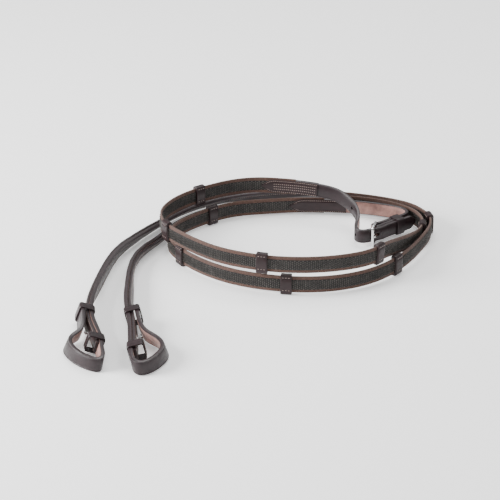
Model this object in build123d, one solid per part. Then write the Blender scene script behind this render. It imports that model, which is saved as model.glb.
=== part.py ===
from build123d import *
import math
import os

# A pair of leather riding reins with rubber-faced web grips, lying stacked in two turns.
# Millimetres, +X right, +Y away from the rider's side, +Z up, standing on z = 0.

# Driving dimensions
LEATHER_WIDTH = 16.0
BIT_LEATHER = 4.4           # thickness of the strap that goes round the bit ring
CENTRE_LEATHER = 3.8        # thickness of the strap that joins the reins
TIP_LENGTH = 9.0            # strap ends cut to a blunt point
TIP_WIDTH = 7.0
FIT_GAP = 0.3

WEB_WIDTH = 19.0
WEB_THICKNESS = 2.0
RUBBER_WIDTH = 11.6
RUBBER_THICKNESS = 0.7
STOP_LENGTH = 12.0
STOP_WALL = 2.5

PATCH_THICKNESS = 1.5
PATCH_LENGTH = 66.0
PATCH_ON_WEB = 40.0         # how much of a splice patch lies on the web
PATCH_WIDTH = 15.6
PATCH_TIP = 14.0            # length of the patch's pointed end
PATCH_TIP_WIDTH = 4.0

LINING_THICKNESS = 3.2
LINING_WIDTH = 13.0
LINING_PAST_KEEPER = 9.0
LINING_FROM_WEB = 28.0     # the lining starts beyond the splice patches
KEEPER_LENGTH = 11.0
KEEPER_WALL = 1.4
UPPER_KEEPER_REACH = 9.8    # from the strap's face to the far side of the turned-back end
LOWER_KEEPER_REACH = 10.4   # the lower keeper is open and wider

STUD_OFFSET = 13.0          # how far the stud lies below the middle between the keepers
STUD_BASE_RADIUS = 3.4
STUD_BASE_THICKNESS = 1.0
STUD_NECK_RADIUS = 1.4
STUD_REACH = 5.0
STUD_HOOK = 7.0
STUD_HOOK_THICKNESS = 1.6
STUD_HOOK_ROUND = 1.26      # corner radius of the hook, just under half its width
SEAT_GAP = 0.1

BAR_RADIUS = 1.6
BAR_FIT = 0.08
FRAME_HEIGHT = 26.0
FRAME_CORNER = 3.0
TONGUE_RADIUS = 1.2
TONGUE_LENGTH = 18.6
TONGUE_GAP = 0.05
TONGUE_SLOT = 3.6           # height of the notch that the tongue turns in
TONGUE_SLOT_LENGTH = 17.0
BUCKLE_KEEPER = 77.5        # distance along the left route
BUCKLE_KEEPER_REACH = 9.5   # from the chape's face to the far side of the billet
USED_HOLE = 59.5            # distance from the billet's tip
USED_HOLE_LENGTH = 7.6
HOLE_WIDTH = 3.6
HOLE_PITCH = 25.0
SPARE_HOLES = 3

ARC_SHARE = 0.45            # share of the shorter run that an arc takes
ARC_STEP = 14.0             # degrees between two sections on an arc
MIN_STEP = 0.4              # nearest that two sections of a strip may lie
CUT_PAST = 1.0              # how far a cutting shape runs past the ends

# Each route runs from the centre buckle, round the rings, to the end that goes through the bit.
# One row is x, y, z of the strap's middle and its lean in degrees, top towards the right hand.
LEFT_ROUTE = [
    (164.8, 116.8, 13.0, 0), (145.9, 102.0, 13.0, 0), (140.5, 96.0, 13.0, 0), (134.5, 91.3, 13.0, 0),
    (130.1, 96.9, 13.0, 0), (136.1, 101.6, 13.0, 0), (143.3, 105.4, 13.0, 0), (157.4, 116.5, 13.0, 0),
    (167.3, 123.6, 13.0, 0), (172.5, 129.4, 12.9, 0), (172.3, 137.8, 12.8, 0), (165.3, 145.6, 12.6, 0),
    (151.9, 151.8, 12.4, 0), (133.9, 158.6, 12.2, 0), (108.9, 164.6, 12.0, 0), (76.9, 168.2, 12.0, 0),
    (42.9, 168.7, 12.0, 0), (7.9, 163.7, 12.0, 0), (-25.1, 157.7, 12.0, 0), (-52.1, 141.7, 12.0, 0),
    (-75.1, 120.7, 12.0, 0), (-93.1, 98.2, 12.0, 0), (-99.6, 72.2, 12.0, 0), (-93.1, 52.2, 12.0, 0),
    (-78.1, 28.2, 12.0, 0), (-57.1, 5.2, 12.0, 0), (-31.1, -14.3, 12.0, 0), (0.9, -28.3, 12.0, 0),
    (36.9, -35.8, 12.0, 0), (72.9, -35.3, 12.0, 0), (104.9, -26.3, 12.0, 0), (131.9, -9.8, 12.0, 0),
    (153.9, 13.2, 12.0, 0), (170.9, 39.2, 12.0, 0), (184.9, 67.2, 12.0, 0), (195.9, 93.2, 12.0, 0),
    (199.4, 117.2, 12.0, 0), (191.9, 136.2, 12.0, 0), (177.9, 155.2, 12.0, 0), (152.9, 168.7, 12.0, 0),
    (122.9, 179.2, 12.0, 0), (90.9, 186.7, 12.0, 0), (62.9, 197.2, 10.5, -12), (32.9, 204.7, 8.6, -28),
    (0.9, 203.7, 7.6, -42), (-27.1, 198.2, 7.0, -50), (-51.1, 186.2, 7.0, -50), (-73.1, 170.7, 7.0, -50),
    (-94.1, 148.2, 7.0, -50), (-111.1, 123.2, 7.2, -48), (-125.1, 102.2, 7.6, -42),
    (-138.1, 79.7, 8.1, -34), (-150.1, 57.7, 8.4, -24), (-158.1, 33.2, 8.5, -14), (-163.1, 9.2, 8.4, -8),
    (-167.1, -14.8, 8.5, -6), (-170.6, -38.8, 9.0, -8), (-173.6, -62.8, 10.2, -14),
    (-175.6, -86.8, 10.8, -20), (-173.6, -112.8, 10.8, -22), (-167.1, -138.8, 10.8, -22),
    (-159.1, -164.8, 10.8, -20), (-158.2, -181.2, 10.2, -18), (-155.5, -192.1, 9.4, -15),
    (-155.1, -200.0, 8.9, -12), (-156.8, -204.4, 8.6, -6), (-161.8, -204.0, 8.6, -2),
    (-169.4, -199.3, 8.6, 2), (-176.5, -193.1, 8.6, 7), (-183.5, -185.0, 8.7, 13),
    (-189.3, -174.8, 8.8, 19), (-192.3, -165.2, 9.0, 23), (-190.9, -156.1, 9.2, 24),
    (-186.5, -149.5, 9.6, 23), (-182.6, -145.1, 10.2, 22), (-180.6, -139.5, 11.2, 21),
    (-180.5, -129.6, 13.0, 21), (-181.3, -118.0, 14.3, 22), (-182.5, -107.0, 14.5, 22),
    (-183.7, -96.2, 14.5, 22),
]
RIGHT_ROUTE = [
    (181.4, 124.7, 13.0, 0), (166.2, 111.6, 13.0, 0), (150.0, 99.9, 13.0, 0), (141.8, 91.0, 13.0, 0),
    (128.8, 84.8, 13.0, 0), (118.9, 80.7, 13.0, 0), (111.9, 85.2, 13.2, 0), (112.9, 99.2, 14.5, 0),
    (116.9, 115.2, 18.0, 0), (113.9, 130.2, 23.0, 0), (103.9, 143.2, 29.0, 0), (89.9, 152.7, 34.0, 0),
    (60.9, 161.7, 36.3, 0), (30.9, 168.7, 36.3, 0), (0.9, 172.7, 36.3, 0), (-29.1, 165.7, 36.3, 0),
    (-55.1, 150.2, 36.3, 0), (-79.1, 132.2, 36.3, 0), (-98.1, 108.2, 36.3, 0), (-108.1, 80.2, 36.3, 0),
    (-102.1, 51.2, 36.3, 0), (-86.1, 30.2, 36.3, 0), (-67.1, 9.2, 36.3, 0), (-43.1, -11.8, 36.3, 0),
    (-13.1, -26.8, 36.3, 0), (19.9, -36.3, 36.3, 0), (56.9, -38.3, 36.3, 0), (92.9, -32.3, 36.3, 0),
    (122.9, -19.3, 36.3, 0), (139.9, 4.7, 34.0, 0), (154.4, 29.7, 26.5, 0), (169.9, 54.2, 20.0, 0),
    (181.9, 77.2, 14.5, 0), (189.4, 101.2, 12.0, 0), (188.4, 121.2, 12.0, 0), (179.9, 139.2, 12.0, 0),
    (162.9, 153.7, 12.0, 0), (140.9, 165.2, 12.0, 0), (114.9, 172.7, 12.0, 0), (86.9, 177.2, 11.5, 0),
    (58.9, 180.2, 10.0, -12), (28.9, 179.2, 8.8, -25), (-3.1, 176.2, 8.7, -35), (-31.1, 170.2, 8.7, -38),
    (-57.1, 155.2, 8.7, -38), (-80.1, 135.7, 8.7, -38), (-98.1, 112.2, 8.7, -38), (-108.1, 90.2, 8.7, -38),
    (-118.1, 72.2, 8.7, -38), (-128.6, 54.2, 8.6, -30), (-135.6, 33.2, 8.5, -20), (-138.6, 9.2, 8.5, -10),
    (-138.6, -14.8, 8.5, 0), (-137.6, -38.8, 9.0, 8), (-137.1, -62.8, 10.0, 12), (-135.6, -87.8, 10.6, 12),
    (-131.6, -112.8, 10.8, 12), (-128.6, -137.8, 10.8, 13), (-127.1, -162.8, 10.8, 13),
    (-124.8, -192.8, 10.0, 12), (-123.6, -202.3, 9.2, 9), (-120.4, -208.6, 8.8, 6),
    (-115.9, -211.3, 8.6, 3), (-110.1, -209.3, 8.6, 0), (-103.9, -203.1, 8.6, -5),
    (-98.4, -194.4, 8.6, -10), (-94.2, -185.1, 8.8, -15), (-92.5, -175.9, 9.0, -18),
    (-94.9, -166.3, 9.2, -18), (-99.9, -159.3, 9.6, -17), (-105.6, -153.8, 10.0, -15),
    (-110.7, -149.4, 10.6, -13), (-115.1, -143.1, 11.2, -12), (-118.0, -133.6, 11.8, -13),
    (-120.9, -122.5, 12.5, -12), (-122.9, -109.8, 12.8, -11), (-124.7, -97.6, 12.8, -10),
]

# Distances along each route in millimetres, and the hand stops from where the web starts.
GRIP_LENGTH = 780.0
LEFT_WEB_START = 204.5
LEFT_STOPS = (136.0, 262.0, 401.0, 538.0, 656.0)
LEFT_UPPER_KEEPER = 1469.5
LEFT_LOWER_KEEPER = 1534.5
RIGHT_WEB_START = 211.0
RIGHT_STOPS = (120.0, 229.0, 365.0, 500.0, 621.0)
RIGHT_UPPER_KEEPER = 1413.0
RIGHT_LOWER_KEEPER = 1487.0

# The centre buckle: its heel bar, and the direction in which the strap runs away from it.
HEEL = Vector(135.1, 96.3, 13.0)
STRAP_ANGLE = 38.0
FRAME_ANGLE = -106.5        # direction from the heel bar to the front bar
FRAME_REACH = 16.0


class Ribbon:
    """A strap's route: flat sections set square to a path of straight runs and tangent arcs."""

    def __init__(self, name, route):
        points = [Vector(x, y, z) for x, y, z, lean in route]
        radii = [corner_radius(*points[i - 1:i + 2]) for i in range(1, len(points) - 1)]
        path = FilletPolyline(*points, radius=radii)
        print(name, "corner radii", " ".join(f"{radius:.1f}" for radius in radii))
        print(name, "length", round(path.length, 1))
        distances = []
        corners = [0.0]
        travelled = 0.0
        for edge in path.edges():
            steps = 1
            if edge.geom_type == GeomType.CIRCLE:
                steps = max(1, math.ceil(math.degrees(edge.length / edge.radius) / ARC_STEP))
                corners.append(travelled + edge.length / 2)
            distances += [travelled + edge.length * step / steps for step in range(steps)]
            travelled += edge.length
        self.length = travelled
        self.corners = corners + [travelled]
        self.leans = [lean for x, y, z, lean in route]
        self.stations = [self.section_frame(path, d) for d in distances + [travelled]]

    def lean_at(self, distance):
        for i in range(1, len(self.corners)):
            if distance <= self.corners[i]:
                share = (distance - self.corners[i - 1]) / (self.corners[i] - self.corners[i - 1])
                return self.leans[i - 1] + share * (self.leans[i] - self.leans[i - 1])
        return self.leans[-1]

    def section_frame(self, path, distance):
        """Distance, middle, right-hand side and top directions of the section there."""
        along = path.tangent_at(distance / path.length)
        right = along.cross(Vector(0, 0, 1)).normalized()
        up = right.cross(along)
        lean = math.radians(self.lean_at(distance))
        side = right * math.cos(lean) - up * math.sin(lean)
        top = up * math.cos(lean) + right * math.sin(lean)
        return distance, path.position_at(distance / path.length), side, top

    def frame_at(self, distance):
        """A frame between two stations, taken in a straight line between theirs."""
        for before, after in zip(self.stations, self.stations[1:]):
            if distance <= after[0]:
                share = (distance - before[0]) / (after[0] - before[0])
                return [before[i] + (after[i] - before[i]) * share for i in range(4)]
        return self.stations[-1]

    def span(self, start, end, low, high, width, ends=()):
        """A strip from start to end, between two distances to the side of the route's middle.

        ends holds (distance, width) pairs where the strip narrows to a point or a rounded end."""
        widths = sorted(ends or [(start, width), (end, width)])
        marks = [station[0] for station in self.stations] + [place for place, size in widths]
        inner = {mark for mark in marks if start + MIN_STEP < mark < end - MIN_STEP}
        sections = []
        for distance in [start] + sorted(inner) + [end]:
            half = width_at(widths, distance, width) / 2
            d, middle, side, top = self.frame_at(distance)
            corners = [(low, -half), (high, -half), (high, half), (low, half)]
            points = [middle + side * across + top * height for across, height in corners]
            sections.append(Wire.make_polygon(points, close=True))
        return Solid.make_loft(sections, True)

    def sleeve(self, start, end, low, high, width, wall):
        """A ring round the strip between low and high, with the given wall."""
        outside = self.span(start, end, low - wall, high + wall, width + 2 * wall)
        inside = self.span(start - CUT_PAST, end + CUT_PAST, low, high, width)
        return outside - inside

    def place(self, distance, across):
        """A plane whose z points to the strap's right-hand side and y to its top."""
        d, middle, side, top = self.frame_at(distance)
        return Plane(middle + side * across, x_dir=top.cross(side), z_dir=side)


def corner_radius(before, corner, after):
    shorter = min((corner - before).length, (after - corner).length)
    turn = (corner - before).get_angle(after - corner)
    return ARC_SHARE * shorter / math.tan(math.radians(turn / 2))


def width_at(widths, distance, full):
    """Width of a strip whose ends narrow, from (distance, width) pairs."""
    for (d0, w0), (d1, w1) in zip(widths, widths[1:]):
        if d0 <= distance <= d1:
            return w0 + (w1 - w0) * (distance - d0) / (d1 - d0)
    return full


def save(node, shape):
    """Write one sub-part."""
    part = Compound(children=list(shape.solids()))
    part.label = node
    export_step(part, f"parts/{node}.step")


def grip(side, ribbon, web, stops):
    """The woven web, its rubber faces and the hand stops sewn round them."""
    start, end = web
    half_web = WEB_THICKNESS / 2
    half_grip = half_web + RUBBER_THICKNESS
    save(f"{side}_grip_web", ribbon.span(start, end, -half_web, half_web, WEB_WIDTH))
    save(f"{side}_grip_rubber_right", ribbon.span(start, end, half_web, half_grip, RUBBER_WIDTH))
    save(f"{side}_grip_rubber_left", ribbon.span(start, end, -half_grip, -half_web, RUBBER_WIDTH))
    for number, middle in enumerate(stops, 1):
        stop = ribbon.sleeve(middle - STOP_LENGTH / 2, middle + STOP_LENGTH / 2,
                             -half_grip, half_grip, WEB_WIDTH, STOP_WALL)
        save(f"{side}_hand_stop_{number}", stop)


def splice(side, name, ribbon, joint, towards_web, thickness):
    """Two pointed leather patches that join a leather strap to the web, one on each face."""
    tip = joint + towards_web * PATCH_ON_WEB
    square = tip - towards_web * PATCH_LENGTH
    neck = tip - towards_web * PATCH_TIP
    ends = [(tip, PATCH_TIP_WIDTH), (neck, PATCH_WIDTH), (square, PATCH_WIDTH)]
    start, end = min(tip, square), max(tip, square)
    half = max(thickness, WEB_THICKNESS + 2 * (RUBBER_THICKNESS + SEAT_GAP)) / 2
    right = ribbon.span(start, end, half, half + PATCH_THICKNESS, PATCH_WIDTH, ends=ends)
    left = ribbon.span(start, end, -half - PATCH_THICKNESS, -half, PATCH_WIDTH, ends=ends)
    save(f"{side}_{name}_splice_right", right)
    save(f"{side}_{name}_splice_left", left)


def strap_with_tip(ribbon, start, end, thickness, tip_at_start):
    """A leather strap whose free end is cut to a blunt point."""
    half = thickness / 2
    if tip_at_start:
        ends = [(start, TIP_WIDTH), (start + TIP_LENGTH, LEATHER_WIDTH), (end, LEATHER_WIDTH)]
    else:
        ends = [(start, LEATHER_WIDTH), (end - TIP_LENGTH, LEATHER_WIDTH), (end, TIP_WIDTH)]
    return ribbon.span(start, end, -half, half, LEATHER_WIDTH, ends=ends)


def bit_end(side, ribbon, web_end, upper, lower, inner):
    """The strap that goes round the bit ring, with its lining, two keepers and hook stud.

    inner is +1 where the loop lies on the strap's right-hand side, -1 on its left."""
    half = BIT_LEATHER / 2
    stack = half + LINING_THICKNESS
    save(f"{side}_bit_strap", strap_with_tip(ribbon, web_end, ribbon.length, BIT_LEATHER, False))
    near, far = half * inner, stack * inner
    lining = ribbon.span(web_end + LINING_FROM_WEB, lower + LINING_PAST_KEEPER,
                         min(near, far), max(near, far), LINING_WIDTH)
    save(f"{side}_bit_lining", lining)
    keepers = (("upper", upper, UPPER_KEEPER_REACH), ("lower", lower, LOWER_KEEPER_REACH))
    for name, place, reach in keepers:
        front = (half + reach) * inner
        back = -(half + FIT_GAP) * inner
        ring = ribbon.sleeve(place - KEEPER_LENGTH / 2, place + KEEPER_LENGTH / 2,
                             min(back, front), max(back, front), LEATHER_WIDTH + 2 * FIT_GAP,
                             KEEPER_WALL)
        save(f"{side}_{name}_keeper", ring)
    seat = ribbon.place((upper + lower) / 2 + STUD_OFFSET, (stack + SEAT_GAP) * inner)
    turn = Rot(0, 0, 0) if inner > 0 else Rot(0, 180, 0)
    save(f"{side}_hook_stud", seat * turn * hook_stud(inner))


def hook_stud(inner):
    """A button base, a neck and a flat hook that points back towards the upper keeper."""
    from_seat = (Align.CENTER, Align.CENTER, Align.MIN)
    base = Cylinder(STUD_BASE_RADIUS, STUD_BASE_THICKNESS, align=from_seat)
    neck = Cylinder(STUD_NECK_RADIUS, STUD_REACH, align=from_seat)
    hook = Box(STUD_HOOK, 2 * STUD_NECK_RADIUS, STUD_HOOK_THICKNESS)
    hook = fillet(hook.edges().filter_by(Axis.Z), STUD_HOOK_ROUND)
    past_neck = STUD_HOOK / 2 - STUD_NECK_RADIUS
    return base + neck + Pos(-inner * past_neck, 0, STUD_REACH) * hook


def centre_straps(left, right):
    """The two leather straps that the buckle joins, with the chape's notch and the billet's holes."""
    half = CENTRE_LEATHER / 2
    strap_axes = Plane(HEEL, x_dir=Vector(1, 0, 0).rotate(Axis.Z, STRAP_ANGLE), z_dir=(0, 0, 1))
    chape = left.span(0, LEFT_WEB_START, -half, half, LEATHER_WIDTH)
    notch = strap_axes * Box(TONGUE_SLOT_LENGTH, TONGUE_SLOT_LENGTH, TONGUE_SLOT)
    save("left_centre_strap", chape - notch)
    billet = strap_with_tip(right, 0, RIGHT_WEB_START, CENTRE_LEATHER, True)
    used = right.place(USED_HOLE, 0)
    billet -= used * extrude(SlotOverall(USED_HOLE_LENGTH, HOLE_WIDTH), amount=LEATHER_WIDTH, both=True)
    for number in range(1, SPARE_HOLES + 1):
        spot = right.place(USED_HOLE + number * HOLE_PITCH, 0)
        billet -= spot * Cylinder(HOLE_WIDTH / 2, LEATHER_WIDTH)
    save("right_centre_strap", billet)


def buckle(left):
    """A single-bar buckle: the frame and the tongue turn on the heel bar in the chape's fold."""
    reach = Vector(1, 0, 0).rotate(Axis.Z, FRAME_ANGLE)
    upright = Plane(HEEL, x_dir=reach, z_dir=reach.cross(Vector(0, 0, 1)))
    half = FRAME_HEIGHT / 2 - BAR_RADIUS
    corners = [(0, -half), (FRAME_REACH, -half), (FRAME_REACH, half), (0, half)]
    outline = FilletPolyline(*corners, radius=FRAME_CORNER, close=True)
    start = outline @ 0
    bar = Plane(start, z_dir=outline % 0) * Circle(BAR_RADIUS)
    save("buckle_frame", upright * sweep(bar, path=outline))
    rest = math.degrees(math.asin((BAR_RADIUS + TONGUE_RADIUS + TONGUE_GAP) / FRAME_REACH))
    tongue_plane = Plane(HEEL, x_dir=Vector(1, 0, 0).rotate(Axis.Z, FRAME_ANGLE + rest), z_dir=(0, 0, 1))
    eye = Cylinder(BAR_RADIUS + BAR_FIT + 2 * TONGUE_RADIUS, 2 * TONGUE_RADIUS)
    blade = Rot(0, 90, 0) * Cylinder(TONGUE_RADIUS, TONGUE_LENGTH,
                                     align=(Align.CENTER, Align.CENTER, Align.MIN))
    tongue = eye + blade - Cylinder(BAR_RADIUS + BAR_FIT, FRAME_HEIGHT)
    save("buckle_tongue", tongue_plane * tongue)
    low = -CENTRE_LEATHER / 2 - FIT_GAP
    high = CENTRE_LEATHER / 2 + BUCKLE_KEEPER_REACH
    ring = left.sleeve(BUCKLE_KEEPER - KEEPER_LENGTH / 2, BUCKLE_KEEPER + KEEPER_LENGTH / 2,
                       low, high, LEATHER_WIDTH + 2 * FIT_GAP, KEEPER_WALL)
    save("buckle_keeper", ring)


def rein(side, ribbon, web_start, stops, upper, lower, inner):
    """One rein from its centre splice to the loop for the bit ring."""
    web_end = web_start + GRIP_LENGTH
    grip(side, ribbon, (web_start, web_end), [web_start + stop for stop in stops])
    splice(side, "centre", ribbon, web_start, 1, CENTRE_LEATHER)
    splice(side, "bit", ribbon, web_end, -1, BIT_LEATHER)
    bit_end(side, ribbon, web_end, upper, lower, inner)


os.makedirs("parts", exist_ok=True)
left_ribbon = Ribbon("left", LEFT_ROUTE)
right_ribbon = Ribbon("right", RIGHT_ROUTE)
centre_straps(left_ribbon, right_ribbon)
buckle(left_ribbon)
rein("left", left_ribbon, LEFT_WEB_START, LEFT_STOPS, LEFT_UPPER_KEEPER, LEFT_LOWER_KEEPER, 1)
rein("right", right_ribbon, RIGHT_WEB_START, RIGHT_STOPS, RIGHT_UPPER_KEEPER, RIGHT_LOWER_KEEPER, -1)
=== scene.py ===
import math

import bmesh
import bpy
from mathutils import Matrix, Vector


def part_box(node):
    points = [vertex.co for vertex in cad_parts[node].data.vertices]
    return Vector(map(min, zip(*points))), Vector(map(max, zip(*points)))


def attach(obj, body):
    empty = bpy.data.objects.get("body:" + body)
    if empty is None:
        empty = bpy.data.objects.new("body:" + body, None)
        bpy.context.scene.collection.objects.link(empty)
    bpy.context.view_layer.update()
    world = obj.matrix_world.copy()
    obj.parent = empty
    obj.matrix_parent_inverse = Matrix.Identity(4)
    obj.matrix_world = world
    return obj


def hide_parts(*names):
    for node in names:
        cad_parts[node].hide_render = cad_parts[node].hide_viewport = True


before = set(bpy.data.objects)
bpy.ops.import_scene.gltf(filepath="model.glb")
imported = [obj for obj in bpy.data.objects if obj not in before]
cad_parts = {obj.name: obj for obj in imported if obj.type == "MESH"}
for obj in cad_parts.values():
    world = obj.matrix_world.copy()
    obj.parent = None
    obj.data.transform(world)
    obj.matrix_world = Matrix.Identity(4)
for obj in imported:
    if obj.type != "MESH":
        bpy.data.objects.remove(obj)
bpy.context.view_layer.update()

bl_info = {
    "name": "Riding Reins",
    "version": (1, 0, 0),
    "blender": (4, 5, 0),
    "location": "View3D > Sidebar > Reins",
    "description": "Builds a pair of web-grip riding reins around their packed frame",
    "category": "Add Mesh",
}

BODY = "reins"
MM = 0.001


def upright(z, *places):
    """Rows of a route where the strap stands straight up at one height."""
    return [(x, y, z, 0) for x, y in places]


# Each route runs from the centre buckle, round the rings, to the end that goes through the bit.
# One row is x, y, z of the strap's middle in metres and its lean in degrees, top to the right hand.
LEFT_ROUTE = [
    *upright(0.0130, (0.1648, 0.1168), (0.1459, 0.1020), (0.1405, 0.0960), (0.1345, 0.0913),
                     (0.1301, 0.0969), (0.1361, 0.1016), (0.1433, 0.1054), (0.1574, 0.1165),
                     (0.1673, 0.1236)),
    (0.1725, 0.1294, 0.0129, 0), (0.1723, 0.1378, 0.0128, 0), (0.1653, 0.1456, 0.0126, 0),
    (0.1519, 0.1518, 0.0124, 0), (0.1339, 0.1586, 0.0122, 0),
    *upright(0.0120, (0.1089, 0.1646), (0.0769, 0.1682), (0.0429, 0.1687), (0.0079, 0.1637),
                     (-0.0251, 0.1577), (-0.0521, 0.1417), (-0.0751, 0.1207), (-0.0931, 0.0982),
                     (-0.0996, 0.0722), (-0.0931, 0.0522), (-0.0781, 0.0282), (-0.0571, 0.0052),
                     (-0.0311, -0.0143), (0.0009, -0.0283), (0.0369, -0.0358), (0.0729, -0.0353),
                     (0.1049, -0.0263), (0.1319, -0.0098), (0.1539, 0.0132), (0.1709, 0.0392),
                     (0.1849, 0.0672), (0.1959, 0.0932), (0.1994, 0.1172), (0.1919, 0.1362),
                     (0.1779, 0.1552), (0.1529, 0.1687), (0.1229, 0.1792), (0.0909, 0.1867)),
    (0.0629, 0.1972, 0.0105, -12), (0.0329, 0.2047, 0.0086, -28), (0.0009, 0.2037, 0.0076, -42),
    (-0.0271, 0.1982, 0.0070, -50), (-0.0511, 0.1862, 0.0070, -50),
    (-0.0731, 0.1707, 0.0070, -50), (-0.0941, 0.1482, 0.0070, -50),
    (-0.1111, 0.1232, 0.0072, -48), (-0.1251, 0.1022, 0.0076, -42),
    (-0.1381, 0.0797, 0.0081, -34), (-0.1501, 0.0577, 0.0084, -24),
    (-0.1581, 0.0332, 0.0085, -14), (-0.1631, 0.0092, 0.0084, -8), (-0.1671, -0.0148, 0.0085, -6),
    (-0.1706, -0.0388, 0.0090, -8), (-0.1736, -0.0628, 0.0102, -14),
    (-0.1756, -0.0868, 0.0108, -20), (-0.1736, -0.1128, 0.0108, -22),
    (-0.1671, -0.1388, 0.0108, -22), (-0.1591, -0.1648, 0.0108, -20),
    (-0.1582, -0.1812, 0.0102, -18), (-0.1555, -0.1921, 0.0094, -15),
    (-0.1551, -0.2000, 0.0089, -12), (-0.1568, -0.2044, 0.0086, -6),
    (-0.1618, -0.2040, 0.0086, -2), (-0.1694, -0.1993, 0.0086, 2), (-0.1765, -0.1931, 0.0086, 7),
    (-0.1835, -0.1850, 0.0087, 13), (-0.1893, -0.1748, 0.0088, 19),
    (-0.1923, -0.1652, 0.0090, 23), (-0.1909, -0.1561, 0.0092, 24),
    (-0.1865, -0.1495, 0.0096, 23), (-0.1826, -0.1451, 0.0102, 22),
    (-0.1806, -0.1395, 0.0112, 21), (-0.1805, -0.1296, 0.0130, 21),
    (-0.1813, -0.1180, 0.0143, 22), (-0.1825, -0.1070, 0.0145, 22),
    (-0.1837, -0.0962, 0.0145, 22),
]
RIGHT_ROUTE = [
    *upright(0.0130, (0.1814, 0.1247), (0.1662, 0.1116), (0.1500, 0.0999), (0.1418, 0.0910),
                     (0.1288, 0.0848), (0.1189, 0.0807)),
    (0.1119, 0.0852, 0.0132, 0), (0.1129, 0.0992, 0.0145, 0), (0.1169, 0.1152, 0.0180, 0),
    (0.1139, 0.1302, 0.0230, 0), (0.1039, 0.1432, 0.0290, 0), (0.0899, 0.1527, 0.0340, 0),
    *upright(0.0363, (0.0609, 0.1617), (0.0309, 0.1687), (0.0009, 0.1727), (-0.0291, 0.1657),
                     (-0.0551, 0.1502), (-0.0791, 0.1322), (-0.0981, 0.1082), (-0.1081, 0.0802),
                     (-0.1021, 0.0512), (-0.0861, 0.0302), (-0.0671, 0.0092), (-0.0431, -0.0118),
                     (-0.0131, -0.0268), (0.0199, -0.0363), (0.0569, -0.0383), (0.0929, -0.0323),
                     (0.1229, -0.0193)),
    (0.1399, 0.0047, 0.0340, 0), (0.1544, 0.0297, 0.0265, 0), (0.1699, 0.0542, 0.0200, 0),
    (0.1819, 0.0772, 0.0145, 0),
    *upright(0.0120, (0.1894, 0.1012), (0.1884, 0.1212), (0.1799, 0.1392), (0.1629, 0.1537),
                     (0.1409, 0.1652), (0.1149, 0.1727)),
    (0.0869, 0.1772, 0.0115, 0), (0.0589, 0.1802, 0.0100, -12), (0.0289, 0.1792, 0.0088, -25),
    (-0.0031, 0.1762, 0.0087, -35), (-0.0311, 0.1702, 0.0087, -38),
    (-0.0571, 0.1552, 0.0087, -38), (-0.0801, 0.1357, 0.0087, -38),
    (-0.0981, 0.1122, 0.0087, -38), (-0.1081, 0.0902, 0.0087, -38),
    (-0.1181, 0.0722, 0.0087, -38), (-0.1286, 0.0542, 0.0086, -30),
    (-0.1356, 0.0332, 0.0085, -20), (-0.1386, 0.0092, 0.0085, -10), (-0.1386, -0.0148, 0.0085, 0),
    (-0.1376, -0.0388, 0.0090, 8), (-0.1371, -0.0628, 0.0100, 12), (-0.1356, -0.0878, 0.0106, 12),
    (-0.1316, -0.1128, 0.0108, 12), (-0.1286, -0.1378, 0.0108, 13),
    (-0.1271, -0.1628, 0.0108, 13), (-0.1248, -0.1928, 0.0100, 12), (-0.1236, -0.2023, 0.0092, 9),
    (-0.1204, -0.2086, 0.0088, 6), (-0.1159, -0.2113, 0.0086, 3), (-0.1101, -0.2093, 0.0086, 0),
    (-0.1039, -0.2031, 0.0086, -5), (-0.0984, -0.1944, 0.0086, -10),
    (-0.0942, -0.1851, 0.0088, -15), (-0.0925, -0.1759, 0.0090, -18),
    (-0.0949, -0.1663, 0.0092, -18), (-0.0999, -0.1593, 0.0096, -17),
    (-0.1056, -0.1538, 0.0100, -15), (-0.1107, -0.1494, 0.0106, -13),
    (-0.1151, -0.1431, 0.0112, -12), (-0.1180, -0.1336, 0.0118, -13),
    (-0.1209, -0.1225, 0.0125, -12), (-0.1229, -0.1098, 0.0128, -11),
    (-0.1247, -0.0976, 0.0128, -10),
]
SIDES = ("left", "right")
INNER = {"left": 1, "right": -1}    # the side of the strap on which the bit loop lies
SPLICE_MIDDLE = 7 * MM              # from a splice's middle to where leather meets web


class Sizes(bpy.types.PropertyGroup):
    """Sizes that a user would change, in metres."""
    leather_width: bpy.props.FloatProperty(
        name="Leather width", description="Width of the leather straps",
        default=0.016, unit="LENGTH")
    bit_leather: bpy.props.FloatProperty(
        name="Bit strap thickness", description="Leather that goes round the bit ring",
        default=0.0044, unit="LENGTH")
    centre_leather: bpy.props.FloatProperty(
        name="Centre strap thickness", description="Leather that the buckle joins",
        default=0.0038, unit="LENGTH")
    web_width: bpy.props.FloatProperty(
        name="Web width", description="Width of the woven grip", default=0.019, unit="LENGTH")
    web_thickness: bpy.props.FloatProperty(
        name="Web thickness", description="Thickness of the woven grip",
        default=0.0022, unit="LENGTH")
    rubber_width: bpy.props.FloatProperty(
        name="Rubber width", description="Width of the rubber faces", default=0.0116, unit="LENGTH")
    pimple_pitch: bpy.props.FloatProperty(
        name="Pimple pitch", description="Distance between rubber pimples",
        default=0.0022, unit="LENGTH")
    stitch_pitch: bpy.props.FloatProperty(
        name="Stitch pitch", description="Distance between stitches, eleven to the inch",
        default=0.0023, unit="LENGTH")
    thread_radius: bpy.props.FloatProperty(
        name="Thread radius", description="Half the thickness of the waxed thread",
        default=0.00036, unit="LENGTH")
    stop_length: bpy.props.FloatProperty(
        name="Hand stop length", description="Length of a hand stop along the web",
        default=0.012, unit="LENGTH")
    keeper_length: bpy.props.FloatProperty(
        name="Keeper length", description="Length of a keeper along the strap",
        default=0.011, unit="LENGTH")
    patch_length: bpy.props.FloatProperty(
        name="Patch length", description="Length of a splice patch", default=0.066, unit="LENGTH")


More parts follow.
